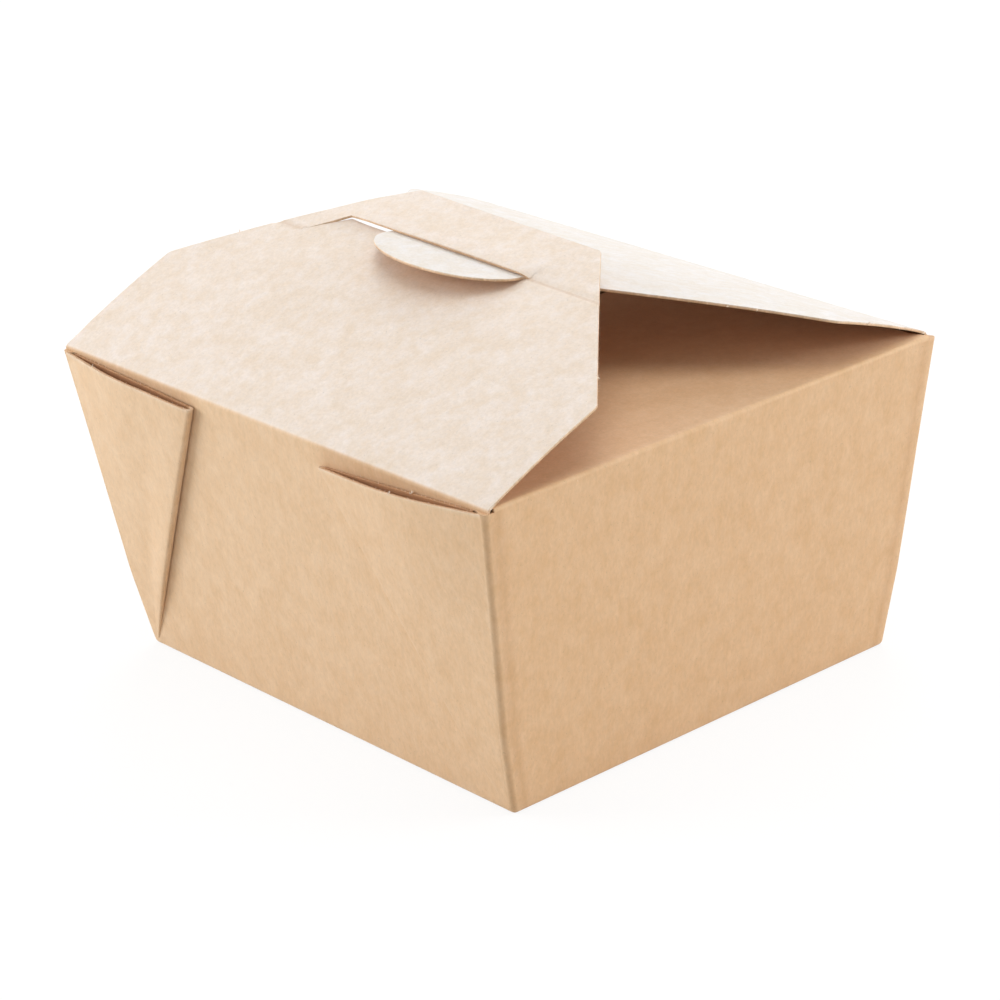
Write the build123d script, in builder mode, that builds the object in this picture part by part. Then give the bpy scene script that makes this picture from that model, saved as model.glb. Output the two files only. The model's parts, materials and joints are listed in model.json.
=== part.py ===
import os
from math import asin, atan2, cos, degrees, hypot, radians, sin, sqrt

from build123d import *

# A food carton folded from one die-cut sheet of board: a tapered tray, two dust flaps
# folded level, a tongue flap over them, and a slit flap whose slit takes the tongue.
# Millimetres. The tray stands on z = 0 with its centre at the origin. The main flaps
# hinge along X: the slit flap on the wall at -Y, the tongue flap on the wall at +Y.

# Tray
board = 0.5
base_length = 112.5
base_depth = 96.6
mouth_length = 129.2
mouth_depth = 111.6
wall_height = 65.0
corner_radius = 2.4
base_fold_radius = 1.2

# Corner webs, folded in two and laid flat outside the walls at -Y and +Y
pleat_reach = 44.5
pleat_corner_drop = 0.9
pleat_end_drop = 3.4
pleat_bow = 1.2
lip_bow = 0.9
lip_depth = 24.0
pleat_foot = 1.5

# Both main flaps
flap_side_gap = 0.1
crown_height = 19.4
slit_past_middle = 5.9
flap_tip_width = 56.8
flap_tip_radius = 1.5

# Slit flap
slit_flap_radius = 270.0
slit_margin = 12.7
hinge_gap = 0.3
hinge_relief = 1.8

# Slit: a long leg along X, and a short leg turned towards the hinge
slit_left = -34.5
slit_right = 20.6
slit_width = 2.6
slit_leg = 7.3
crease_radius = 0.6
crease_depth = 0.12

# Tongue flap and its tongue
tongue_flap_radius = 180.0
tongue_flap_dip = 0.8
shoulder_setback = 4.3
tongue_width = 40.0
tongue_neck = 2.5
tongue_reach = 12.0
tongue_climb = 16.0
tongue_rest = 4.5

# Dust flaps
dust_gap = 15.2
dust_root_relief = 3.0
dust_taper = 15.0
dust_corner_radius = 8.0

hinge_y = mouth_depth / 2 - board / 2
hinge_z = wall_height - board / 2
flap_half_width = mouth_length / 2 - flap_side_gap
flap_span = 2 * hinge_y

os.makedirs("parts", exist_ok=True)


def span(base, mouth, height):
    return base + (mouth - base) * height / wall_height


class BentBoard:
    # Board bent to one radius, rising from its hinge at (0, 0) through the point (run, lift).
    def __init__(self, run, lift, radius):
        half_chord = hypot(run, lift) / 2
        tilt = atan2(lift, run)
        reach = sqrt(radius**2 - half_chord**2)
        self.radius = radius
        self.centre_run = run / 2 + reach * sin(tilt)
        self.centre_lift = lift / 2 - reach * cos(tilt)

    def slope(self, run):
        return asin((self.centre_run - run) / self.radius)

    def lift(self, run):
        return self.centre_lift + self.radius * cos(self.slope(run))

    def length_at(self, run):
        return self.radius * (self.slope(0) - self.slope(run))

    def run_at(self, length):
        return self.centre_run - self.radius * sin(self.slope(0) - length / self.radius)

    def section(self, run):
        # A sketch with the run as x and the lift as y, its root rounded about the hinge line.
        centre = (self.centre_run, self.centre_lift)
        start = 90 + degrees(self.slope(0))
        turn = degrees(self.slope(run) - self.slope(0))
        with BuildSketch() as strip:
            with BuildLine():
                upper = CenterArc(centre, self.radius + board / 2, start, turn)
                lower = CenterArc(centre, self.radius - board / 2, start, turn)
                Line(upper @ 0, lower @ 0)
                Line(upper @ 1, lower @ 1)
            make_face()
            Circle(board / 2)
        return strip.sketch


slit_run = hinge_y - slit_past_middle
tongue_slit_run = flap_span - slit_run
slit_arc = BentBoard(slit_run, crown_height, slit_flap_radius)
tongue_arc = BentBoard(tongue_slit_run, crown_height - tongue_flap_dip, tongue_flap_radius)

slit_flap_length = slit_arc.length_at(slit_run) + slit_margin
slit_flap_run = slit_arc.run_at(slit_flap_length)
shoulder_run = tongue_slit_run - shoulder_setback
shoulder_length = tongue_arc.length_at(shoulder_run)

# Section planes have the run inwards from the hinge as x, plan planes have it as y.
slit_section = Plane((0, -hinge_y, hinge_z), x_dir=(0, 1, 0), z_dir=(1, 0, 0))
tongue_section = Plane((0, hinge_y, hinge_z), x_dir=(0, -1, 0), z_dir=(-1, 0, 0))
slit_plan = Plane((0, -hinge_y, 0), x_dir=(1, 0, 0), z_dir=(0, 0, 1))
tongue_plan = Plane((0, hinge_y, 0), x_dir=(-1, 0, 0), z_dir=(0, 0, 1))
plan_height = wall_height + 2 * crown_height


# A flap in plan: straight sides, then 45 degree corners down to the width of its tip.
def flap_plan(arc, length):
    tip_half = flap_tip_width / 2
    side_run = arc.run_at(length - (flap_half_width - tip_half))
    tip_run = arc.run_at(length)
    with BuildSketch() as plan:
        with BuildLine():
            Polyline(
                (-flap_half_width, -board),
                (flap_half_width, -board),
                (flap_half_width, side_run),
                (tip_half, tip_run),
                (-tip_half, tip_run),
                (-flap_half_width, side_run),
                close=True,
            )
        make_face()
        fillet(plan.vertices().group_by(Axis.Y)[1] + plan.vertices().group_by(Axis.Y)[2], flap_tip_radius)
    return plan.sketch


# Tray, solid, with rounded corners and a rounded fold round the base
with BuildPart() as tray_outside:
    with BuildSketch():
        RectangleRounded(base_length, base_depth, corner_radius)
    with BuildSketch(Plane.XY.offset(hinge_z)):
        RectangleRounded(
            span(base_length, mouth_length, hinge_z),
            span(base_depth, mouth_depth, hinge_z),
            corner_radius,
        )
    loft()
    fillet(tray_outside.edges().group_by(Axis.Z)[0], base_fold_radius)

# The space inside it
with BuildPart() as tray_inside:
    with BuildSketch(Plane.XY.offset(board)):
        RectangleRounded(
            span(base_length, mouth_length, board) - 2 * board,
            span(base_depth, mouth_depth, board) - 2 * board,
            corner_radius - board,
        )
    with BuildSketch(Plane.XY.offset(hinge_z)):
        RectangleRounded(
            span(base_length, mouth_length, hinge_z) - 2 * board,
            span(base_depth, mouth_depth, hinge_z) - 2 * board,
            corner_radius - board,
        )
    loft()
    fillet(tray_inside.edges().group_by(Axis.Z)[0], base_fold_radius - board)

# One pleat, a cone of board about the foot of its corner, open along its top edge
corner_z = wall_height - pleat_corner_drop
corner = Vector(
    span(base_length, mouth_length, corner_z) / 2,
    -span(base_depth, mouth_depth, corner_z) / 2,
    corner_z,
)
fold_z = wall_height - pleat_end_drop
fold_end = Vector(corner.X - pleat_reach, -span(base_depth, mouth_depth, fold_z) / 2, fold_z)
inset = corner_radius * (1 - cos(radians(45)))
foot = Vector(base_length / 2 - inset, inset - base_depth / 2, pleat_foot)
lip_edge = fold_end - corner
wall_up = Vector(0, (base_depth - mouth_depth) / 2, wall_height).normalized()
outwards = Vector(1, 0, 0).cross(wall_up) * -1
lip_plane = Plane(corner, x_dir=lip_edge, z_dir=lip_edge.cross(outwards * -1))
lip_length = lip_edge.length
side = 1 if lip_plane.y_dir.Y < 0 else -1

with BuildSketch(lip_plane) as pleat_top:
    with BuildLine():
        sleeve = Polyline((0, side * board), (0, -side * corner_radius), (lip_length, -side * board / 2))
        Line(sleeve @ 1, (lip_length, side * 2 * board))
        bow = ThreePointArc(
            (lip_length, side * 2 * board),
            (lip_length / 2, side * (2 * board + pleat_bow)),
            (board, side * 2 * board),
        )
        RadiusArc(sleeve @ 0, bow @ 1, side * -board)
    make_face()

with BuildSketch(lip_plane) as lip_opening:
    with BuildLine():
        ThreePointArc(
            (lip_length - board, side * board),
            (lip_length / 2, side * (board + lip_bow)),
            (2 * board, side * board),
        )
        Line((lip_length - board, side * board), (2 * board, side * board))
    make_face()

lip_middle = corner + lip_edge * 0.5 + outwards * board
lip_root = lip_middle + (foot - lip_middle).normalized() * lip_depth

with BuildPart() as pleats:
    loft(sections=[pleat_top.sketch.face(), Vertex(*foot)])
    loft(sections=[lip_opening.sketch.face(), Vertex(*lip_root)], mode=Mode.SUBTRACT)
    mirror(about=Plane.YZ)
    mirror(about=Plane.XZ)

# The tongue flap in section, cut to its plan
with BuildPart() as tongue_flap:
    with BuildSketch(tongue_section):
        add(tongue_arc.section(shoulder_run + board))
    extrude(amount=flap_half_width, both=True)
    with BuildSketch(tongue_plan):
        add(flap_plan(tongue_arc, shoulder_length))
    extrude(amount=plan_height, mode=Mode.INTERSECT)

# One dust flap, level with the rim, tapered towards its rounded tip
dust_tip = dust_gap / 2
dust_root = mouth_length / 2 - board / 2
dust_half_root = mouth_depth / 2 - dust_root_relief
dust_half_tip = dust_half_root - (dust_root - dust_tip) * sin(radians(dust_taper))

with BuildPart() as dust_flap:
    with BuildSketch(Plane.XY.offset(wall_height - board)):
        with BuildLine():
            Polyline(
                (dust_root, dust_half_root),
                (dust_tip, dust_half_tip),
                (dust_tip, -dust_half_tip),
                (dust_root, -dust_half_root),
                close=True,
            )
        make_face()
    extrude(amount=board)
    fillet(dust_flap.edges().filter_by(Axis.Z).group_by(Axis.X)[0], dust_corner_radius)
    with Locations((dust_root, 0, hinge_z)):
        Cylinder(board / 2, 2 * dust_half_root, rotation=(90, 0, 0))

with BuildPart() as carton:
    add(tray_outside.part)
    add(pleats.part)
    add(tray_inside.part, mode=Mode.SUBTRACT)
    with Locations((0, -mouth_depth / 2, wall_height - board - hinge_gap)):
        Box(
            2 * mouth_length,
            2 * hinge_relief,
            wall_height,
            align=(Align.CENTER, Align.CENTER, Align.MIN),
            mode=Mode.SUBTRACT,
        )
    add(tongue_flap.part)
    add(dust_flap.part)
    add(dust_flap.part.mirror(Plane.YZ))
carton.part.label = "carton"
export_step(carton.part, "parts/carton.step")

# The slit flap, its root rounded about the hinge line
slit_leg_run = slit_arc.run_at(slit_arc.length_at(slit_run) - slit_leg)
with BuildPart() as slit_flap:
    with BuildSketch(slit_section):
        add(slit_arc.section(slit_flap_run + board))
    extrude(amount=flap_half_width, both=True)
    with BuildSketch(slit_plan):
        add(flap_plan(slit_arc, slit_flap_length))
    extrude(amount=plan_height, mode=Mode.INTERSECT)
    with BuildSketch(slit_plan):
        with BuildLine() as slit_line:
            Polyline((slit_right, slit_run), (slit_left, slit_run), (slit_left - slit_leg, slit_leg_run))
        trace(slit_line.line, slit_width)
    extrude(amount=plan_height, mode=Mode.SUBTRACT)
    for run, start, end in (
        (slit_run, slit_right, flap_half_width),
        (slit_leg_run, -flap_half_width, slit_left - slit_leg),
    ):
        crease_lift = slit_arc.lift(run) + board / 2 / cos(slit_arc.slope(run)) + crease_radius - crease_depth
        with Locations(((start + end) / 2, run - hinge_y, hinge_z + crease_lift)):
            Cylinder(crease_radius, end - start, rotation=(0, 90, 0), mode=Mode.SUBTRACT)
slit_flap.part.label = "slit_flap"
export_step(slit_flap.part, "parts/slit_flap.step")

# The tongue, from the shoulder of its flap up through the slit and out over the slit flap
tip_run = tongue_slit_run + tongue_reach * cos(radians(tongue_rest))
tip_lift = crown_height + tongue_reach * sin(radians((tongue_climb + tongue_rest) / 2))
stations = (
    (tongue_slit_run, crown_height, radians(tongue_climb)),
    (tip_run, tip_lift, radians(tongue_rest)),
)
shoulder_slope = tongue_arc.slope(shoulder_run)


# One face of the tongue, half a board above or below its middle line.
def draw_tongue_face(half_board):
    points = [(shoulder_run, tongue_arc.lift(shoulder_run) + half_board / cos(shoulder_slope))]
    points += [(run - half_board * sin(tilt), lift + half_board * cos(tilt)) for run, lift, tilt in stations]
    tilts = [shoulder_slope] + [tilt for run, lift, tilt in stations]
    return Spline(*points, tangents=[(cos(tilt), sin(tilt)) for tilt in tilts])


with BuildPart() as locking_tongue:
    with BuildSketch(tongue_section):
        with BuildLine():
            upper = draw_tongue_face(board / 2)
            lower = draw_tongue_face(-board / 2)
            Line(upper @ 0, lower @ 0)
            Line(upper @ 1, lower @ 1)
        make_face()
    extrude(amount=tongue_width / 2, both=True)
    with BuildSketch(tongue_plan):
        with BuildLine():
            neck_run = tongue_slit_run + tongue_neck
            Polyline(
                (tongue_width / 2, neck_run),
                (tongue_width / 2, shoulder_run - board),
                (-tongue_width / 2, shoulder_run - board),
                (-tongue_width / 2, neck_run),
            )
            EllipticalCenterArc((0, neck_run), tongue_width / 2, tip_run - neck_run, arc_size=180)
        make_face()
    extrude(amount=plan_height, mode=Mode.INTERSECT)
locking_tongue.part.label = "locking_tongue"
export_step(locking_tongue.part, "parts/locking_tongue.step")
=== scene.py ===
import bmesh
import bpy
import json
import math
import random
from mathutils import Matrix, Vector, noise


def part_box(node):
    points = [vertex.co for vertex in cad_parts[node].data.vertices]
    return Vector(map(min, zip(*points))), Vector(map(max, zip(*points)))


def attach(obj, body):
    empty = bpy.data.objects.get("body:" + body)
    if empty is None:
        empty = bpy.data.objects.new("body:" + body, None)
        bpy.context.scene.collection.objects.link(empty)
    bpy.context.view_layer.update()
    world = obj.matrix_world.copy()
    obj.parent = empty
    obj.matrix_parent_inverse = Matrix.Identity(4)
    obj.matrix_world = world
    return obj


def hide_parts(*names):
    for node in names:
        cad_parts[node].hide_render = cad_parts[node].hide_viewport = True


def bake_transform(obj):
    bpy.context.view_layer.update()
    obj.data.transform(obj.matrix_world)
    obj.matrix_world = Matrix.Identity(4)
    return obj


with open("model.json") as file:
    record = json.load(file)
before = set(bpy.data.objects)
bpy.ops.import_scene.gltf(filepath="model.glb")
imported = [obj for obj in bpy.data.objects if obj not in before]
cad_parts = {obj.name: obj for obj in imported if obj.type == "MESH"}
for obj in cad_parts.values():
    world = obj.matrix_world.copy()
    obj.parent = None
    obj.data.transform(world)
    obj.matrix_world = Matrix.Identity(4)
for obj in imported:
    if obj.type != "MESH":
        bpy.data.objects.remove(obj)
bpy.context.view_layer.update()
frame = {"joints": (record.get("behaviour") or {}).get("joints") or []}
print("frame loaded")

# shared board values, metres
board = {"thickness": 0.0005, "foldReach": 0.0006, "waviness": 0.00006, "wavelength": 0.03, "sharpAngle": 38}
halfBoard = board["thickness"] / 2

# the frame gives where the hinge lines and the widest corners are
hinge = Vector(frame["joints"][0]["pos_m"])
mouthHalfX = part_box("carton")[1].x
mouthHalfY = -hinge.y + halfBoard
mouthZ = hinge.z + halfBoard
rimZ = hinge.z - board["foldReach"]

scene = bpy.context.scene
scene.view_settings.view_transform = "Standard"


def smoothStep(value, low, high):
    part = min(max((value - low) / (high - low), 0.0), 1.0)
    return part * part * (3 - 2 * part)


def lerp(start, end, part):
    return start + (end - start) * part


def waver(point, seed):
    # slow unevenness of a hand-folded panel
    scaled = Vector(point) / board["wavelength"] + Vector((seed, 0, 0))
    return noise.noise(scaled) * board["waviness"]


def gridMesh(rows, loop=False):
    # a bmesh surface through rows of points
    surface = bmesh.new()
    made = [[surface.verts.new(point) for point in row] for row in rows]
    columns = len(rows[0])
    for lower, upper in zip(made, made[1:]):
        for index in range(columns if loop else columns - 1):
            after = (index + 1) % columns
            surface.faces.new((lower[index], lower[after], upper[after], upper[index]))
    return surface


def paint(piece, name, rule):
    # stores a value for each point of a piece, which the board material reads
    mesh = piece.data
    layer = mesh.attributes.new(name, "FLOAT", "POINT")
    normals = [normal.vector for normal in mesh.vertex_normals]
    values = [rule(vertex.co, normals[vertex.index]) for vertex in mesh.vertices]
    layer.data.foreach_set("value", values)


def boardObject(name, surface):
    # gives a flat surface its thickness, with the cut edge as the second material
    mesh = bpy.data.meshes.new(name)
    surface.to_mesh(mesh)
    surface.free()
    piece = bpy.data.objects.new(name, mesh)
    scene.collection.objects.link(piece)
    mesh.materials.append(kraftBoard)
    mesh.materials.append(cutEdge)
    solid = piece.modifiers.new("thickness", "SOLIDIFY")
    solid.thickness = board["thickness"]
    solid.offset = 0
    solid.use_even_offset = True
    solid.material_offset_rim = 1
    return applied(piece)


def softened(mesh):
    # smooth faces, with the folds and cut edges left sharp
    mesh.polygons.foreach_set("use_smooth", [True] * len(mesh.polygons))
    mesh.set_sharp_from_angle(angle=math.radians(board["sharpAngle"]))


def applied(piece):
    depsgraph = bpy.context.evaluated_depsgraph_get()
    final = bpy.data.meshes.new_from_object(piece.evaluated_get(depsgraph))
    piece.modifiers.clear()
    piece.data = final
    softened(final)
    return piece


boardLook = {
    # colours by each piece's painted light value: painted shade inside, side walls darker, front and back
    # walls, flap tops painted paler where more light falls
    "tones": ((0.0, (0.64, 0.345, 0.155)), (0.35, (0.74, 0.49, 0.28)),
              (0.5, (0.77, 0.55, 0.345)), (0.85, (0.835, 0.735, 0.66)), (1.0, (0.745, 0.715, 0.700))),
    "mottle": 0.042, "warmDrift": (0.985, 0.95, 0.89), "grain": 0.06, "speck": 0.22,
    # the crease tint is painted shade, for creases, recesses, corners and under the tongue
    "paintedShadeTint": (0.74, 0.60, 0.46), "bump": 0.10, "bumpDepth": 0.0002,
    "roughness": 0.66, "specular": 0.6, "sheen": 0.2, "sheenRoughness": 0.5,
}
edgeLook = {
    **boardLook, "mottle": 0.2, "grain": 0.12,
    # the cut edges follow the same painted light and shade values
    "tones": ((0.0, (0.60, 0.36, 0.18)), (0.5, (0.70, 0.48, 0.30)), (1.0, (0.86, 0.74, 0.62))),
}


def boardMaterial(name, look):
    material = bpy.data.materials.new(name)
    material.use_nodes = True
    tree = material.node_tree
    tree.nodes.clear()
    link = tree.links.new

    def node(kind, **values):
        made = tree.nodes.new(kind)
        for key, value in values.items():
            setattr(made, key, value)
        return made

    output = node("ShaderNodeOutputMaterial")
    shader = node("ShaderNodeBsdfPrincipled")
    shader.inputs["Roughness"].default_value = look["roughness"]
    shader.inputs["Specular IOR Level"].default_value = look["specular"]
    shader.inputs["Sheen Weight"].default_value = look["sheen"]
    shader.inputs["Sheen Roughness"].default_value = look["sheenRoughness"]
    link(shader.outputs["BSDF"], output.inputs["Surface"])
    place = node("ShaderNodeTexCoord")

    def texture(scale, detail, stretch=(1, 1, 1), distortion=0.0):
        mapping = node("ShaderNodeMapping")
        mapping.inputs["Scale"].default_value = stretch
        link(place.outputs["Object"], mapping.inputs["Vector"])
        made = node("ShaderNodeTexNoise")
        made.inputs["Scale"].default_value = scale
        made.inputs["Detail"].default_value = detail
        made.inputs["Roughness"].default_value = 0.6
        made.inputs["Distortion"].default_value = distortion
        link(mapping.outputs["Vector"], made.inputs["Vector"])
        return made.outputs["Fac"]

    def spread(source, low, high, start, end):
        made = node("ShaderNodeMapRange")
        made.inputs["From Min"].default_value = low
        made.inputs["From Max"].default_value = high
        made.inputs["To Min"].default_value = start
        made.inputs["To Max"].default_value = end
        link(source, made.inputs["Value"])
        return made.outputs["Result"]

    def times(first, second):
        made = node("ShaderNodeMath", operation="MULTIPLY")
        link(first, made.inputs[0])
        link(second, made.inputs[1])
        return made.outputs["Value"]

    def around(source, share):
        # a factor that wanders evenly about 1
        return spread(source, 0.3, 0.7, 1 - share, 1 + share)

    cloud = texture(190, 3, distortion=0.4)  # soft clouds of pulp
    blotch = texture(520, 3, (1, 1, 0.6))  # short blotches
    fibre = texture(1700, 4, (1, 1, 0.5), 0.6)  # fibres, longer up the sheet
    speck = texture(2600, 1)  # darker single fibres
    tone = times(around(cloud, look["mottle"] / 2), around(blotch, look["mottle"] / 2 * 0.7))
    tone = times(tone, around(fibre, look["grain"]))
    tone = times(tone, spread(speck, 0.69, 0.8, 1, 1 - look["speck"]))

    def attribute(attributeName):
        return node("ShaderNodeAttribute", attribute_name=attributeName).outputs["Fac"]

    def tinted(colour, tint, factor):
        # multiplies a colour by a tint as far as the factor says
        mix = node("ShaderNodeMix", data_type="RGBA", blend_type="MULTIPLY")
        mix.inputs["B"].default_value = (*tint, 1)
        link(colour, mix.inputs["A"])
        link(factor, mix.inputs["Factor"])
        return mix.outputs["Result"]

    ramp = node("ShaderNodeValToRGB")
    stops = ramp.color_ramp.elements
    while len(stops) < len(look["tones"]):
        stops.new(0.5)
    for stop, (position, colour) in zip(stops, look["tones"]):
        stop.position = position
        stop.color = (*colour, 1)
    # the ramp turns the painted light value into colour: darker where shade falls, paler where light falls
    link(attribute("toneAndPaintedLight"), ramp.inputs["Fac"])
    drifted = tinted(ramp.outputs["Color"], look["warmDrift"], spread(cloud, 0.35, 0.65, 1, 0))
    drifted = tinted(drifted, look["warmDrift"], spread(blotch, 0.35, 0.65, 1, 0))
    # painted shade: darkens the colour in creases, between layers, beside corners and under the tongue
    paintedShaded = tinted(drifted, look["paintedShadeTint"], attribute("crease"))
    scaled = node("ShaderNodeVectorMath", operation="SCALE")
    link(paintedShaded, scaled.inputs[0])
    link(tone, scaled.inputs["Scale"])
    link(scaled.outputs["Vector"], shader.inputs["Base Color"])
    bump = node("ShaderNodeBump")
    bump.inputs["Strength"].default_value = look["bump"]
    bump.inputs["Distance"].default_value = look["bumpDepth"]
    link(fibre, bump.inputs["Height"])
    link(bump.outputs["Normal"], shader.inputs["Normal"])
    return material


kraftBoard = boardMaterial("kraft board", boardLook)
cutEdge = boardMaterial("cut edge", edgeLook)
print("materials made")


tray = {
    "baseLength": 0.1125, "baseDepth": 0.0966, "cornerRadius": 0.0012, "baseFold": 0.0011,
    "sideSteps": 60, "cornerSteps": 8, "heightSteps": 44, "foldSteps": 6, "leastRadius": 0.0004,
}

pleat = {
    "reach": (0.0423, 0.0472), "endDrop": (0.0026, 0.0043), "bow": (0.0015, 0.0017),
    "lift": (0.0010, 0.0001), "columns": 34, "rows": 40, "tuck": 0.0015, "foot": 0.25,
    "layerGap": 0.0001, "footInset": 0.0013, "footHeight": 0.0006,
}

wallLean = math.atan2(mouthHalfY - tray["baseDepth"] / 2, mouthZ)


def halfSpans(z):
    part = z / mouthZ
    return (
        lerp(tray["baseLength"] / 2, mouthHalfX, part),
        lerp(tray["baseDepth"] / 2, mouthHalfY, part),
    )


def pleatStep(z):
    # how far the folded web stands out from the wall at this height
    return 2 * board["thickness"] * min(1.0, (z / mouthZ) / pleat["foot"])


def trayRing(z, inset, stepOut):
    # one closed ring round the tray, with the corners standing out over the pleats
    halfX, halfY = halfSpans(z)
    halfX -= inset
    halfY -= inset
    out = pleatStep(z) if stepOut else 0.0
    radius = max(tray["cornerRadius"] - inset, tray["leastRadius"])
    points = []
    for turn in range(4):
        alongY = turn % 2 == 1
        sideHalf = (halfY + out if alongY else halfX) - radius
        wallHalf = halfX if alongY else halfY
        for index in range(tray["sideSteps"]):
            along = lerp(-sideHalf, sideHalf, index / tray["sideSteps"])
            distance = wallHalf
            if not alongY:
                distance += out * (1 - smoothStep(sideHalf - abs(along), 0.0, pleat["tuck"]))
            points.append(turned(along, -distance, turn))
        centreY = (halfX if alongY else halfY + out) - radius
        for index in range(tray["cornerSteps"]):
            angle = math.pi / 2 * index / tray["cornerSteps"]
            x, y = sideHalf + radius * math.sin(angle), -centreY - radius * math.cos(angle)
            points.append(turned(x, y, turn))
    return [Vector((x, y, z)) for x, y in points]


def turned(x, y, turn):
    # a point of the first side carried round to another side
    for _ in range(turn):
        x, y = -y, x
    return x, y


def trayShell(inset, stepOut):
    # rings from inside the base, round its fold and up the walls
    rows = []
    fold = max(tray["baseFold"] - inset, tray["leastRadius"])
    for index in range(tray["foldSteps"] + 1):
        angle = math.pi / 2 * index / tray["foldSteps"]
        height = inset + fold * (1 - math.cos(angle))
        rows.append(trayRing(height, inset + fold * (1 - math.sin(angle)), stepOut))
    start = inset + fold
    for index in range(1, tray["heightSteps"] + 1):
        rows.append(trayRing(lerp(start, rimZ, index / tray["heightSteps"]), inset, stepOut))
    middle = [[point * Vector((share, share, 1)) for point in rows[0]] for share in (0.25, 0.5, 0.75, 0.93)]
    return middle + rows


outerRows = trayShell(0.0, True)
innerRows = trayShell(board["thickness"], False)
surface = gridMesh(outerRows + innerRows[::-1], loop=True)
surface.verts.ensure_lookup_table()
count = len(outerRows[0])
for ring in (surface.verts[:count], surface.verts[-count:]):
    surface.faces.new(ring)
for vertex in surface.verts:
    if vertex.co.z > 0.002:
        away = Vector((vertex.co.x, vertex.co.y, 0)).normalized()
        vertex.co += away * waver(vertex.co, 3.0)
bmesh.ops.recalc_face_normals(surface, faces=surface.faces)
mesh = bpy.data.meshes.new("tray")
surface.to_mesh(mesh)
surface.free()
mesh.materials.append(kraftBoard)
trayPiece = bpy.data.objects.new("tray", mesh)
scene.collection.objects.link(trayPiece)
softened(mesh)
print("tray made")


def pleatShape(kind):
    # the values of a plain pleat, 0, or of a looser one, 1
    return [pleat[key][kind] for key in ("reach", "endDrop", "bow", "lift")]


def pleatLayers(part, share, height, bow, lift):
    # how far the middle of the outer and of the inner layer stand off the wall
    thickness = board["thickness"]
    step = pleatStep(height)
    opening = smoothStep(share, 0.45, 1.0) * max(math.sin(math.pi * min(max(part, 0.0), 1.0)), 0.0) ** 1.2
    raised = lift * smoothStep(part, 0.6, 1.0) * math.sin(math.pi * min(share * 1.05, 1.0) * 0.62)
    outer = step - thickness / 2 + bow * opening + raised - 0.00003 * (1 - smoothStep(part, 0, 0.08))
    inner = thickness / 2 * (step / (2 * thickness)) + 0.35 * raised + 0.12 * bow * opening
    return outer, min(inner, outer - pleat["layerGap"])


def pleatSurface(reach, endDrop, bow, lift, sideX, sideY):
    # a ribbon of board: out from the corner, round the fold, and back against the wall
    radius = tray["cornerRadius"]
    topX, topY = halfSpans(rimZ)
    cornerTop = Vector((topX - radius, rimZ))
    endTop = Vector((topX - reach, mouthZ - endDrop))
    foot = Vector((tray["baseLength"] / 2 - pleat["footInset"], pleat["footHeight"]))
    columns = pleat["columns"]
    stations = [(index / columns, 1) for index in range(columns)]
    stations += [(1.0, turn) for turn in (1, 0.93, 0.8, 0.5, 0, -0.5, -0.8, -0.93, -1)]
    stations += [(1 - index / columns, -1) for index in range(1, columns - 1)]
    rows = []
    shares = [lerp(0.02, 1.0, index / pleat["rows"]) for index in range(pleat["rows"])] + [0.985, 0.995, 1.0]
    for share in shares:
        row = []
        for part, side in stations:
            point = foot + (cornerTop.lerp(endTop, part) - foot) * share
            outer, inner = pleatLayers(part, share, point.y, bow, lift)
            if abs(side) < 1 or part == 1.0:
                across = (1 - abs(side) ** 3) ** (1 / 3)
                middle, half = (outer + inner) / 2, (outer - inner) / 2
                distance = middle + half * side
                along = half * across
            else:
                distance = outer if side > 0 else inner
                along = 0.0
            halfY = halfSpans(point.y)[1]
            x = point.x - along
            y = -halfY - distance * math.cos(wallLean)
            z = point.y - distance * math.sin(wallLean)
            row.append(Vector((x * sideX, y * sideY, z)))
        rows.append(row)
    return gridMesh(rows)


pleats = []
for name, sideX, sideY, kind in (
    ("pleat_front_left", -1, 1, 0), ("pleat_front_right", 1, 1, 1),
    ("pleat_back_left", -1, -1, 1), ("pleat_back_right", 1, -1, 0),
):
    surface = pleatSurface(*pleatShape(kind), sideX, sideY)
    pleats.append((boardObject(name, surface), kind))
print("pleats made")


def bentPath(start, wallAngle, slope, length, step=0.0005):
    # distances and points along a flap's section: out of the wall, round its fold, then along slope(v)
    reach = board["foldReach"]
    first = Vector((math.cos(wallAngle), math.sin(wallAngle)))
    angle = slope(0.0)
    second = Vector((math.cos(angle), math.sin(angle)))
    below = start - first * (reach / math.sin(wallAngle))
    beyond = start + second * reach
    path = [(-reach, below)]
    for index in range(1, 9):
        part = index / 9
        point = below * (1 - part) ** 2 + start * 2 * part * (1 - part) + beyond * part ** 2
        path.append((lerp(-reach, reach, part), point))
    travelled, point = reach, beyond
    path.append((travelled, point.copy()))
    while travelled < length + step:
        angle = slope(travelled)
        point = point + Vector((math.cos(angle), math.sin(angle))) * step
        travelled += step
        path.append((travelled, point.copy()))
    return path


def foldDistances():
    # rows close together round a fold
    reach = board["foldReach"]
    return [-reach + reach * index / 4 for index in range(8)]


def alongPath(path, distance):
    # the point and the direction of a section at a distance from its hinge
    low, high = 0, len(path) - 1
    while high - low > 1:
        middle = (low + high) // 2
        if path[middle][0] <= distance:
            low = middle
        else:
            high = middle
    first, second = path[low], path[high]
    part = (distance - first[0]) / (second[0] - first[0])
    return first[1].lerp(second[1], part), (second[1] - first[1]).normalized()


slitFlap = {
    "length": 0.0663, "sideGap": 0.0002, "sideLength": 0.0289, "sideTaper": 0.030,
    "startSlope": 26.5, "endSlope": 13.5, "twist": 0.50,
    "slit": 0.0529, "slitLeft": -0.0323, "slitRight": 0.0203, "slitLeg": 0.0074,
    "stripLift": 0.00070, "nearDip": 0.00068, "reach": 0.014, "mouthTaper": 0.0028,
    "crease": 0.00018, "creaseHalf": 0.0006, "cell": 0.0013, "wave": 1.5, "freed": 0.008,
}


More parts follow.
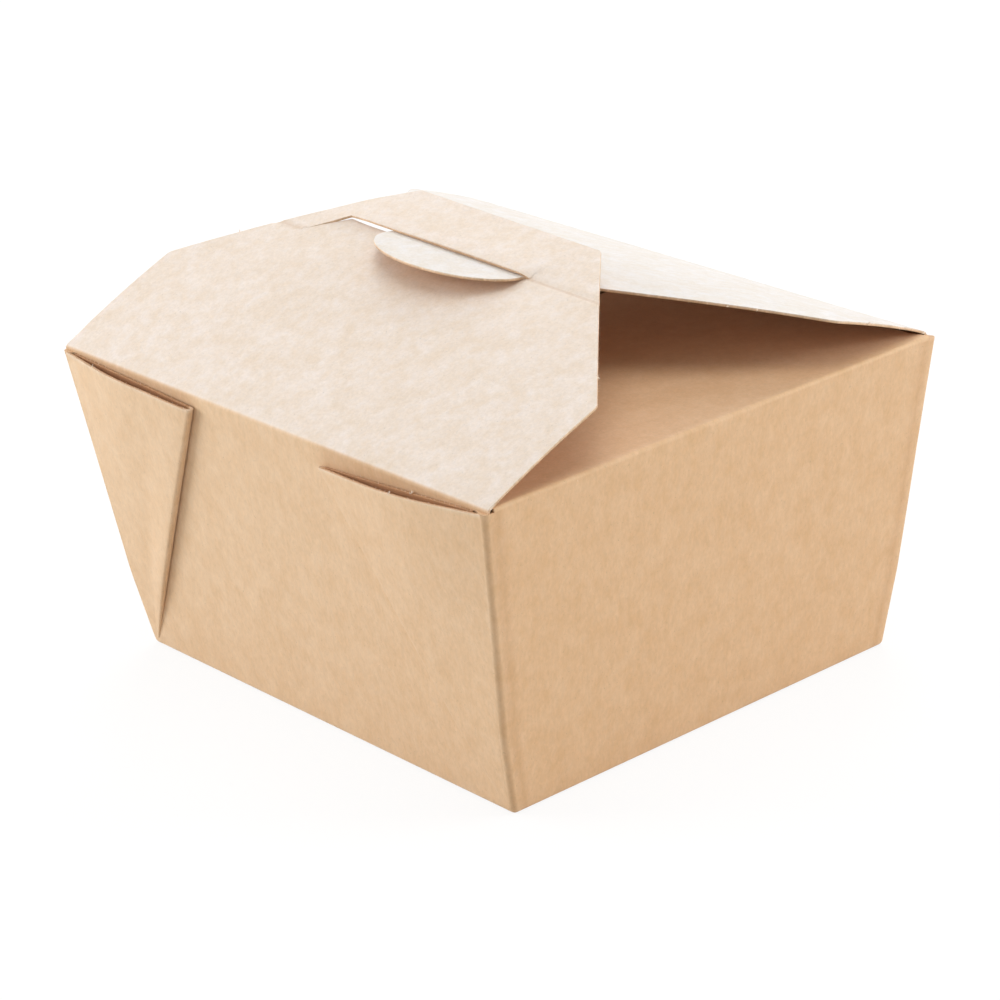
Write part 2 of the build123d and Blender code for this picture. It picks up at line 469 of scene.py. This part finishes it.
def slitSlope(distance):
    part = distance / slitFlap["length"]
    return math.radians(lerp(slitFlap["startSlope"], slitFlap["endSlope"], part))


frontWallAngle = math.atan2(mouthZ, -(mouthHalfY - tray["baseDepth"] / 2))
slitPath = bentPath(Vector((hinge.y, hinge.z)), frontWallAngle, slitSlope, slitFlap["length"])


def slitFlapFlat():
    # the flap laid flat, x across and y away from its hinge, with its edges on every cut and crease
    half = mouthHalfX - slitFlap["sideGap"]
    length = slitFlap["length"]
    cell = slitFlap["cell"]
    columns = round(2 * half / cell)
    rows = round(length / cell)
    reach = board["foldReach"]
    heights = foldDistances() + [lerp(reach, length, index / rows) for index in range(rows + 1)]
    flat = gridMesh([[(lerp(-half, half, i / columns), v, 0) for i in range(columns + 1)] for v in heights])

    def cut(point, normal, outer=False):
        everything = flat.verts[:] + flat.edges[:] + flat.faces[:]
        bmesh.ops.bisect_plane(
            flat, geom=everything, dist=1e-7, plane_co=point, plane_no=normal, clear_outer=outer
        )

    slit, left, right, leg = (slitFlap[key] for key in ("slit", "slitLeft", "slitRight", "slitLeg"))
    for offset in (-0.0012, -0.0004, 0.0, 0.0004, 0.0012):
        cut((0, slit + offset, 0), (0, 1, 0))
    cut((0, slit - leg, 0), (0, 1, 0))
    for offset in (-0.0006, 0.0, 0.0006):
        cut((left + offset, slit, 0), (1, -1, 0))
    for across in (left - leg, left, right, right - 0.0002, right - 0.0006, right - 0.0016):
        cut((across, 0, 0), (1, 0, 0))
    side = slitFlap["sideLength"]
    for mirror in (-1, 1):
        shoulder = half - slitFlap["sideTaper"] * side
        cut((mirror * half, 0, 0), (mirror, slitFlap["sideTaper"], 0), True)
        cut((mirror * shoulder, side, 0), (mirror, 1, 0), True)
        cut((mirror * (shoulder - 0.00015), side - 0.0001, 0), (mirror, 0.41, 0), True)
        tip = shoulder - (length - side)
        cut((mirror * (tip + 0.0001), length - 0.0002, 0), (mirror * 0.41, 1, 0), True)

    def onSlit(point):
        near = 1e-6
        if abs(point.y - slit) < near:
            return left - near < point.x < right + near
        return abs(point.x - left - (point.y - slit)) < near and slit - leg - near < point.y < slit

    cuts = [edge for edge in flat.edges if all(onSlit(v.co) for v in edge.verts)]
    bmesh.ops.split_edges(flat, edges=cuts)
    return flat


def isStrip(vertex):
    # which side of the slit a point of the flat flap is on
    centre = Vector((0, 0, 0))
    for face in vertex.link_faces:
        centre += face.calc_center_median() / len(vertex.link_faces)
    slit, left, leg = slitFlap["slit"], slitFlap["slitLeft"], slitFlap["slitLeg"]
    if centre.y > slit:
        return True
    return centre.y > slit - leg and centre.x < left - (slit - centre.y)


def placeSlitFlap(flat):
    # bends the flat flap along its section, opens the slit and presses the two creases
    slit, left, right, leg = (slitFlap[key] for key in ("slit", "slitLeft", "slitRight", "slitLeg"))
    moves = []
    for vertex in flat.verts:
        across, distance = vertex.co.x, vertex.co.y
        point, direction = alongPath(slitPath, distance)
        normal = Vector((-direction.y, direction.x))
        toEnd = min(max((right - across) / slitFlap["mouthTaper"], 0.0), 1.0)
        away = abs(distance - slit)
        beyond = 1 - smoothStep(across, right - 0.008, right + 0.010)
        spread = smoothStep(across, left - 0.008, left + 0.006)
        spread *= lerp(math.sqrt(toEnd), beyond, smoothStep(away, 0.0, 0.005))
        if isStrip(vertex):
            move = slitFlap["stripLift"] * spread * (1 - smoothStep(away, 0.0, 0.0125))
        else:
            move = -slitFlap["nearDip"] * spread * (1 - smoothStep(away, 0.0, slitFlap["reach"])) ** 1.5
        onRight = across > right and away < slitFlap["creaseHalf"]
        onLeft = across < left - leg and abs(distance - slit + leg) < slitFlap["creaseHalf"]
        if onRight or onLeft:
            move -= slitFlap["crease"]
        if distance > 0:
            own = waver((across, distance, 0), 9.0) * slitFlap["wave"] - slitFlap["twist"] * across * distance
            move += own * smoothStep(distance, 0, slitFlap["freed"])
        moves.append(Vector((across, point.x + normal.x * move, point.y + normal.y * move)))
    for vertex, place in zip(flat.verts, moves):
        vertex.co = place
    return flat


slitFlapPiece = boardObject("slit_flap_board", placeSlitFlap(slitFlapFlat()))
print("slit flap made")


tongueFlap = {
    "length": 0.085, "shoulder": 0.0600, "rootHalf": 0.0626, "sideLength": 0.0256, "cornerSoftness": 0.0012,
    "startSlope": 24.3, "unbend": 246.0, "restSlope": 4.5, "rootLift": 4.0, "twist": 0.30,
    "tongueHalf": 0.0193, "tongueShift": -0.0006, "tongueReach": 0.0119, "neck": 0.0012, "riseStart": 0.040,
}


def tongueSlope(distance):
    # steep at the fold, then bent down to rest on the dust flaps
    bent = tongueFlap["startSlope"] - tongueFlap["unbend"] * distance
    bent += tongueFlap["rootLift"] * math.exp(-distance / 0.004)
    return math.radians(max(bent, tongueFlap["restSlope"]))


tonguePath = bentPath(Vector((hinge.y, hinge.z)), frontWallAngle, tongueSlope, tongueFlap["length"])


def flapHalf(distance):
    # half width of the tongue flap: straight sides, then softened 45 degree corners
    past = distance - tongueFlap["sideLength"]
    soft = tongueFlap["cornerSoftness"]
    return tongueFlap["rootHalf"] - (past + math.hypot(past, soft)) / 2


def tongueFlapSurface():
    # where the slit line lies along this flap
    slitPoint = alongPath(slitPath, slitFlap["slit"])[0]
    slitDistance = next(v for v, point in tonguePath if -point.x <= slitPoint.x)
    half = tongueFlap["tongueHalf"]
    outer, inner = 34, 30
    shares = [-1 - (outer - index) / outer for index in range(outer)]
    shares += [lerp(-1, 1, index / inner) for index in range(inner + 1)]
    shares += [1 + (index + 1) / outer for index in range(outer)]
    reach = board["foldReach"]
    distances = foldDistances()
    distances += [lerp(reach, tongueFlap["shoulder"], index / 46) for index in range(47)]
    surface = bmesh.new()
    rows = []
    meeting = alongPath(tonguePath, slitDistance)[0]
    rise = slitPoint.y - meeting.y

    def vertexAt(across, distance):
        # the flap follows its own bend, then comes up to where the slit lets it through
        point, direction = alongPath(tonguePath, distance)
        normal = Vector((-direction.y, direction.x))
        through = smoothStep(distance, tongueFlap["riseStart"], slitDistance)
        shift = tongueFlap["tongueShift"] * smoothStep(distance, tongueFlap["shoulder"] - 0.02, slitDistance)
        own = waver((across, distance, 0), 21.0) * slitFlap["wave"] - tongueFlap["twist"] * across * distance
        held = -slitFlap["twist"] * across * slitFlap["slit"]
        move = lerp(own * smoothStep(distance, 0, slitFlap["freed"]), held, through)
        return surface.verts.new(
            (across + shift, -(point.x + normal.x * move), point.y + normal.y * move + rise * through)
        )

    for distance in distances:
        wide = flapHalf(distance)
        row = []
        for share in shares:
            across = share * half
            if abs(share) > 1:
                across = math.copysign(lerp(half, wide, abs(share) - 1), share)
            row.append(vertexAt(across, distance))
        rows.append(row)
    for lower, upper in zip(rows, rows[1:]):
        for i in range(len(shares) - 1):
            surface.faces.new((lower[i], lower[i + 1], upper[i + 1], upper[i]))
    neckEnd = slitDistance + tongueFlap["neck"]
    last = rows[-1][outer:outer + inner + 1]
    steps = 26
    for index in range(1, steps + 1):
        part = index / steps
        if part < 0.25:
            distance, wide = lerp(tongueFlap["shoulder"], neckEnd, part / 0.25), half
        else:
            angle = math.pi / 2 * (part - 0.25) / 0.75 * 0.985
            distance = neckEnd + (tongueFlap["tongueReach"] - tongueFlap["neck"]) * math.sin(angle)
            wide = half * math.cos(angle)
        row = [vertexAt(lerp(-1, 1, i / inner) * wide, distance) for i in range(inner + 1)]
        for i in range(inner):
            surface.faces.new((last[i], last[i + 1], row[i + 1], row[i]))
        last = row
    return surface


tongueFlapPiece = boardObject("tongue_flap_board", tongueFlapSurface())
print("tongue flap made")


dustFlap = {
    "gap": (0.0004, 0.0152), "relief": 0.0014, "taper": 1.5, "tipRadius": 0.005, "shoulder": 0.0012,
    "rise": 1.2, "sag": 0.0004, "lengthSteps": 40, "widthSteps": 60,
}


def dustSurface(side):
    # side 1 is the right flap, -1 the left one
    wallAngle = math.atan2(mouthZ, -(mouthHalfX - tray["baseLength"] / 2))
    length = mouthHalfX - halfBoard - dustFlap["gap"][0 if side > 0 else 1] / 2

    def slope(distance):
        return math.radians(dustFlap["rise"])

    path = bentPath(Vector((-(mouthHalfX - halfBoard), hinge.z)), wallAngle, slope, length)
    reach = board["foldReach"]
    distances = foldDistances()
    steps = dustFlap["lengthSteps"]
    distances += [lerp(reach, length, index / steps) for index in range(steps)]
    distances += [length - 0.004 * (1 - index / 6) ** 2 for index in range(1, 7)]
    distances = sorted(set(distances))
    root = mouthHalfY - dustFlap["relief"]
    radius = dustFlap["tipRadius"]
    rows = []
    for distance in distances:
        wide = root - max(distance, 0) * math.tan(math.radians(dustFlap["taper"]))
        wide -= dustFlap["shoulder"] * smoothStep(distance, 0.0, 0.004)
        left = length - distance
        if left < radius:
            wide -= radius - math.sqrt(max(radius ** 2 - (radius - left) ** 2, 0.0))
        point = alongPath(path, distance)[0]
        sag = dustFlap["sag"] * math.sin(math.pi * min(max(distance / length, 0), 1))
        row = []
        for index in range(dustFlap["widthSteps"] + 1):
            across = lerp(-wide, wide, index / dustFlap["widthSteps"])
            wave = waver((across, distance, 1), 31.0) * 2 if distance > 0.002 else 0.0
            row.append(Vector((-side * point.x, across, point.y - sag + wave)))
        rows.append(row)
    return gridMesh(rows)


dustPieces = [
    boardObject("dust_flap_right", dustSurface(1)),
    boardObject("dust_flap_left", dustSurface(-1)),
]
print("dust flaps made")


# painted light and shade of each surface, which picks its colour (for the edge fibres, their own tone), and
# how dark the painted shade is at each crease and recess
tones = {
    "inside": 0.12, "pleatWall": 0.5, "sideWall": 0.33, "dustFold": 0.34, "dustFlap": 0.22, "underside": 0.2,
    "betweenLayers": 0.03, "lip": 0.66, "slitFlap": 0.85, "tongueFlap": 1.0, "fibres": 1.0,
}
paintedShades = {"lip": 0.5, "corner": 0.35, "betweenLayers": 0.85, "pressedLine": 0.5, "underTongue": 0.85}


def wallPaintedLight(point):
    # painted shade: the pleated walls are painted a little darker to the right and towards the foot, where
    # less light falls
    paintedDarkening = 0.06 * smoothStep(point.x, -0.05, 0.06) + 0.03 * (1 - smoothStep(point.z, 0.0, 0.05))
    return tones["pleatWall"] - paintedDarkening


def trayPaintedLight(point, normal):
    # painted shade inside the tray, and painted light on the walls: side walls darker than the pleated walls,
    # where less light falls
    inward = point.x * normal.x + point.y * normal.y < 0 and normal.z > -0.6
    if inward and point.z > 0.0003:
        return tones["inside"]
    return lerp(wallPaintedLight(point), tones["sideWall"], smoothStep(abs(normal.x), 0.3, 0.8))


def dustPaintedShade(point, normal):
    # painted shade: the dust flaps are darker past their fold, where they lie under the flaps
    past = mouthHalfX - abs(point.x)
    return lerp(tones["dustFold"], tones["dustFlap"], smoothStep(past, 0.0005, 0.0015))


def foldShare(point, side):
    # from 0 on the wall to 1 on the flap, across the fold
    return smoothStep((point.y - side * hinge.y) * side + point.z - hinge.z, -0.0004, 0.0005)


def lipShade(point):
    # painted shade on the strip of wall that is drawn in above the open lip of a pleat
    reach = pleat["reach"][0 if point.x < 0 else 1]
    drop = 0.0045 * smoothStep(abs(point.x), mouthHalfX, mouthHalfX - reach)
    inside = smoothStep(abs(point.x), mouthHalfX - reach - 0.003, mouthHalfX - reach + 0.003)
    return paintedShades["lip"] * inside * smoothStep(point.z, mouthZ - drop - 0.003, mouthZ - drop - 0.001)


def trayPaintedShade(point, normal):
    # painted shade in a soft band beside each upright corner, and painted shade above the lips
    beside = halfSpans(point.z)[1] + pleatStep(point.z) - abs(point.y)
    if abs(normal.y) > 0.7:
        return lipShade(point)
    if beside > 0.005 or abs(normal.x) < 0.7:
        return 0.0
    cornerShade = smoothStep(beside, 0.0012, 0.0022) * (1 - smoothStep(beside, 0.0026, 0.0045))
    return paintedShades["corner"] * cornerShade


def pleatPaintedLight(value, kind):
    # painted shade between the layers, and a painted highlight along the cut lip
    reach, endDrop, bow, lift = pleatShape(kind)

    def rule(point, normal):
        halfX, halfY = halfSpans(point.z)
        share = min(point.z / (mouthZ - endDrop / 2), 1.0)
        part = (halfX - tray["cornerRadius"] - abs(point.x)) / max(reach * share, 0.001)
        outer, inner = pleatLayers(part, share, point.z, bow, lift)
        hidden = (abs(point.y) - halfY) * math.cos(wallLean) < outer and 0.02 < part < 0.985 and share > 0.4
        # painted shade and a dark tone put between the layers, where they hide each other
        if value == "crease":
            return paintedShades["betweenLayers"] * hidden
        if hidden:
            return tones["betweenLayers"]
        lip = lerp(rimZ, mouthZ - endDrop, part)
        # painted highlight along the cut lip
        return lerp(wallPaintedLight(point), tones["lip"], smoothStep(point.z, lip - 0.0010, lip))
    return rule


def slitFlapPaintedShade(point, normal):
    # painted shade on the wall strip and along the pressed lines that run on from the slit, and a painted
    # shadow under the tongue
    slitY = alongPath(slitPath, slitFlap["slit"])[0].x
    legY = alongPath(slitPath, slitFlap["slit"] - slitFlap["slitLeg"])[0].x
    shade = lipShade(point) * (1 - foldShare(point, 1))
    if point.x > slitFlap["slitRight"]:
        shade += paintedShades["pressedLine"] * (1 - smoothStep(abs(point.y - slitY), 0.0, 0.0008))
    elif point.x < slitFlap["slitLeft"] - slitFlap["slitLeg"]:
        shade += paintedShades["pressedLine"] * (1 - smoothStep(abs(point.y - legY), 0.0, 0.0008))
    # painted shadow under the tongue
    elif point.y < slitY and normal.z > 0:
        off = math.hypot(point.x / 0.024, (point.y - slitY) / 0.018)
        shade += paintedShades["underTongue"] * (1 - smoothStep(off, 0.25, 1.0))
    return shade


def flapPaintedLight(side, top):
    # painted shade inside the fold and under the flap, and the top painted paler where more light falls
    def rule(point, normal):
        # painted shade under the flap and inside the fold
        under = normal.z < 0 and (point.y - side * hinge.y) * side > 0.0015
        insideFold = normal.y * side - 0.6 * normal.z > 0.75
        if under or insideFold:
            return tones["underside"]
        # the top painted paler across the fold, where more light falls
        return lerp(tones["pleatWall"], top, foldShare(point, side))
    return rule


# lays the painted light and shade values onto every piece
paint(trayPiece, "toneAndPaintedLight", trayPaintedLight)
paint(trayPiece, "crease", trayPaintedShade)
for piece, kind in pleats:
    paint(piece, "toneAndPaintedLight", pleatPaintedLight("toneAndPaintedLight", kind))
    paint(piece, "crease", pleatPaintedLight("crease", kind))
for piece in dustPieces:
    paint(piece, "toneAndPaintedLight", dustPaintedShade)
paint(slitFlapPiece, "toneAndPaintedLight", flapPaintedLight(1, tones["slitFlap"]))
paint(slitFlapPiece, "crease", slitFlapPaintedShade)
paint(tongueFlapPiece, "toneAndPaintedLight", flapPaintedLight(-1, tones["tongueFlap"]))

# loose fibres and the nicks left by the cutting die
fuzz = {
    "length": 0.00042, "radius": 0.000034, "spacing": 0.0011, "seed": 11, "taper": 0.25, "sides": 5,
    "nickLength": 0.00075, "nickRadius": 0.00017, "nickPoints": 4, "nickSpread": 0.0002,
    "nicks": {
        "slit_flap_board": ((0.0575, -0.0215, 0.0790), (-0.0520, -0.0200, 0.0790)),
        "tongue_flap_board": ((0.0626, 0.0395, 0.0710), (0.0500, 0.0230, 0.0770), (0.0460, 0.0190, 0.0780)),
        "pleat_front_left": ((-0.0530, -0.0575, 0.0625),),
        "pleat_front_right": ((0.0400, -0.0580, 0.0615), (0.0440, -0.0565, 0.0620)),
        "pleat_back_right": ((0.0410, 0.0575, 0.0620),),
        "pleat_back_left": ((-0.0450, 0.0575, 0.0620),),
    },
}


def fuzzSeeds(pieces):
    # points on the cut edges, each with the way it faces and its size
    chance = random.Random(fuzz["seed"])
    places, outward, sizes = [], [], []

    def scatter(reach):
        return Vector([chance.uniform(-reach, reach) for _ in range(3)])

    for piece in pieces:
        mesh = piece.data
        edges = [face for face in mesh.polygons if face.material_index == 1]
        for face in edges:
            if face.area > 0 and chance.random() < face.area / board["thickness"] / fuzz["spacing"]:
                places.append(face.center + scatter(0.00015))
                outward.append(face.normal + scatter(0.7))
                size = chance.uniform(0.4, 1.3)
                sizes.append((fuzz["radius"] * chance.uniform(0.7, 1.4), fuzz["length"] * size))
        for spot in fuzz["nicks"].get(piece.name, ()):
            face = min(edges, key=lambda edge: (edge.center - Vector(spot)).length)
            for _ in range(fuzz["nickPoints"]):
                inside = face.center - face.normal * fuzz["nickSpread"]
                places.append(inside + scatter(fuzz["nickSpread"]))
                outward.append(face.normal + scatter(0.5))
                share = chance.uniform(0.5, 1.1)
                sizes.append((fuzz["nickRadius"] * share, fuzz["nickLength"] * share))
    return places, outward, sizes


def fuzzTree():
    # a small cone on each point, turned outwards from the edge
    tree = bpy.data.node_groups.new("edge fuzz", "GeometryNodeTree")
    for name, kind in (("Geometry", "Geometry"), ("Taper", "Float"), ("Sides", "Int"), ("Seed", "Int"),
                       ("Material", "Material")):
        tree.interface.new_socket(name, in_out="INPUT", socket_type="NodeSocket" + kind)
    tree.interface.new_socket("Geometry", in_out="OUTPUT", socket_type="NodeSocketGeometry")
    made = {}

    def node(key, kind, **values):
        made[key] = tree.nodes.new(kind)
        for name, value in values.items():
            setattr(made[key], name, value)
        return made[key]

    node("in", "NodeGroupInput")
    node("out", "NodeGroupOutput")
    node("points", "GeometryNodeMeshToPoints")
    node("cone", "GeometryNodeMeshCone").inputs["Radius Bottom"].default_value = 1.0
    made["cone"].inputs["Depth"].default_value = 1.0
    for key in ("outward", "size"):
        stored = node(key, "GeometryNodeInputNamedAttribute", data_type="FLOAT_VECTOR")
        stored.inputs["Name"].default_value = key
    node("align", "FunctionNodeAlignRotationToVector", axis="Z")
    node("spin", "FunctionNodeRandomValue", data_type="FLOAT_VECTOR")
    made["spin"].inputs["Min"].default_value = (-0.3, -0.3, -3.1)
    made["spin"].inputs["Max"].default_value = (0.3, 0.3, 3.1)
    node("turn", "FunctionNodeRotateRotation", rotation_space="LOCAL")
    node("place", "GeometryNodeInstanceOnPoints")
    node("real", "GeometryNodeRealizeInstances")
    node("paint", "GeometryNodeSetMaterial")
    for ends in (
        ("in", "Geometry", "points", "Mesh"), ("in", "Taper", "cone", "Radius Top"),
        ("in", "Sides", "cone", "Vertices"), ("in", "Seed", "spin", "Seed"),
        ("outward", "Attribute", "align", "Vector"), ("align", "Rotation", "turn", "Rotation"),
        ("spin", "Value", "turn", "Rotate By"), ("points", "Points", "place", "Points"),
        ("cone", "Mesh", "place", "Instance"), ("turn", "Rotation", "place", "Rotation"),
        ("size", "Attribute", "place", "Scale"), ("place", "Instances", "real", "Geometry"),
        ("real", "Geometry", "paint", "Geometry"), ("in", "Material", "paint", "Material"),
        ("paint", "Geometry", "out", "Geometry"),
    ):
        source, output, target, socket = ends
        tree.links.new(made[source].outputs[output], made[target].inputs[socket])
    return tree


def fuzzObject(name, pieces):
    places, outward, sizes = fuzzSeeds(pieces)
    mesh = bpy.data.meshes.new(name)
    mesh.from_pydata([tuple(place) for place in places], [], [])
    for key, vectors in (("outward", outward), ("size", [(wide, wide, long) for wide, long in sizes])):
        layer = mesh.attributes.new(key, "FLOAT_VECTOR", "POINT")
        layer.data.foreach_set("vector", [value for vector in vectors for value in vector])
    piece = bpy.data.objects.new(name, mesh)
    scene.collection.objects.link(piece)
    grow = piece.modifiers.new("fuzz", "NODES")
    grow.node_group = fuzzNodes
    chosen = {"Taper": fuzz["taper"], "Sides": fuzz["sides"], "Seed": fuzz["seed"], "Material": cutEdge}
    for socket in fuzzNodes.interface.items_tree:
        if socket.in_out == "INPUT" and socket.name in chosen:
            grow[socket.identifier] = chosen[socket.name]
    return applied(piece)


fuzzNodes = fuzzTree()
cartonFlaps = [tongueFlapPiece] + [piece for piece, kind in pleats] + dustPieces
cartonFuzz = fuzzObject("carton_edge_fibres", cartonFlaps)
slitFuzz = fuzzObject("slit_flap_edge_fibres", [slitFlapPiece])
for piece in (cartonFuzz, slitFuzz):
    paint(piece, "toneAndPaintedLight", lambda point, normal: tones["fibres"])
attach(cartonFuzz, "carton_body")
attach(slitFuzz, "slit_flap")
print("edge fibres made")

for piece in [trayPiece] + cartonFlaps:
    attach(piece, "carton_body")
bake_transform(slitFlapPiece)
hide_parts("carton")
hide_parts("locking_tongue")
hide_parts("slit_flap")


stage = {"floorSize": 3.0, "floorWhite": 0.74, "shadowShare": 0.22, "whiteness": 1.1, "fill": 0.30}

mesh = bpy.data.meshes.new("floor")
half = stage["floorSize"] / 2
mesh.from_pydata([(-half, -half, 0), (half, -half, 0), (half, half, 0), (-half, half, 0)], [], [(0, 1, 2, 3)])
floor = bpy.data.objects.new("floor", mesh)
scene.collection.objects.link(floor)


def whiteToTheCamera(tree, shadedOutput, whiteOutput, share, output):
    # shaded for light that bounces, near white where the camera, a gloss or a glass sees it
    rays = tree.nodes.new("ShaderNodeLightPath")
    first, second, scale = (tree.nodes.new("ShaderNodeMath") for _ in range(3))
    first.operation = second.operation = "MAXIMUM"
    scale.operation = "MULTIPLY"
    scale.inputs[1].default_value = share
    mix = tree.nodes.new("ShaderNodeMixShader")
    tree.links.new(rays.outputs["Is Camera Ray"], first.inputs[0])
    tree.links.new(rays.outputs["Is Glossy Ray"], first.inputs[1])
    tree.links.new(first.outputs[0], second.inputs[0])
    tree.links.new(rays.outputs["Is Transmission Ray"], second.inputs[1])
    tree.links.new(second.outputs[0], scale.inputs[0])
    tree.links.new(scale.outputs[0], mix.inputs[0])
    tree.links.new(shadedOutput, mix.inputs[1])
    tree.links.new(whiteOutput, mix.inputs[2])
    tree.links.new(mix.outputs[0], output)


floorPaint = bpy.data.materials.new("floor paint")
floorPaint.use_nodes = True
tree = floorPaint.node_tree
shader = tree.nodes["Principled BSDF"]
shader.inputs["Base Color"].default_value = (stage["floorWhite"],) * 3 + (1,)
shader.inputs["Roughness"].default_value = 0.9
shader.inputs["Specular IOR Level"].default_value = 0.1
white = tree.nodes.new("ShaderNodeEmission")
white.inputs["Strength"].default_value = stage["whiteness"]
whiteToTheCamera(
    tree, shader.outputs[0], white.outputs[0], 1 - stage["shadowShare"],
    tree.nodes["Material Output"].inputs["Surface"],
)
floor.data.materials.append(floorPaint)

world = bpy.data.worlds.new("studio")
scene.world = world
world.use_nodes = True
tree = world.node_tree
fill = tree.nodes["Background"]
fill.inputs["Color"].default_value = (1, 1, 1, 1)
fill.inputs["Strength"].default_value = stage["fill"]
backdrop = tree.nodes.new("ShaderNodeBackground")
backdrop.inputs["Strength"].default_value = 1.0
whiteToTheCamera(
    tree, fill.outputs[0], backdrop.outputs[0], 1.0, tree.nodes["World Output"].inputs["Surface"],
)

lamps = {
    "key": {"place": (-0.55, 0.65, 0.60), "size": 0.6, "power": 3.0},
    "left": {"place": (-0.80, -0.60, 0.25), "size": 0.7, "power": 9.2},
    "right": {"place": (0.68, 0.78, 0.32), "size": 0.6, "power": 7.3},
    "top": {"place": (0.0, 0.1, 1.2), "size": 0.9, "power": 5.0},
    "front": {"place": (0.55, -0.70, 0.35), "size": 1.0, "power": 1.0},
}
for name, lamp in lamps.items():
    light = bpy.data.lights.new(name, "AREA")
    light.size = lamp["size"]
    light.energy = lamp["power"]
    holder = bpy.data.objects.new(name, light)
    holder.location = lamp["place"]
    aim = Vector((0, 0, 0.04)) - Vector(lamp["place"])
    holder.rotation_euler = aim.to_track_quat("-Z", "Y").to_euler()
    scene.collection.objects.link(holder)

view = {
    "azimuth": 50.99, "elevation": 22.64, "roll": -4.22, "distance": 0.6974,
    "target": (0.0020, -0.0023, 0.0325), "lens": 127.8, "sensor": 36,
}
azimuth, elevation, roll = (math.radians(view[key]) for key in ("azimuth", "elevation", "roll"))
back = Vector((
    math.sin(azimuth) * math.cos(elevation), -math.cos(azimuth) * math.cos(elevation), math.sin(elevation)
))
right = (-back).cross(Vector((0, 0, 1))).normalized()
up = right.cross(-back)
across = right * math.cos(roll) + up * math.sin(roll)
upright = up * math.cos(roll) - right * math.sin(roll)
cameraData = bpy.data.cameras.new("camera")
cameraData.lens = view["lens"]
cameraData.sensor_width = view["sensor"]
camera = bpy.data.objects.new("camera", cameraData)
scene.collection.objects.link(camera)
turn = Matrix((across, upright, back)).transposed().to_4x4()
camera.matrix_world = Matrix.Translation(Vector(view["target"]) + back * view["distance"]) @ turn
scene.camera = camera
print("stage, light and camera set")
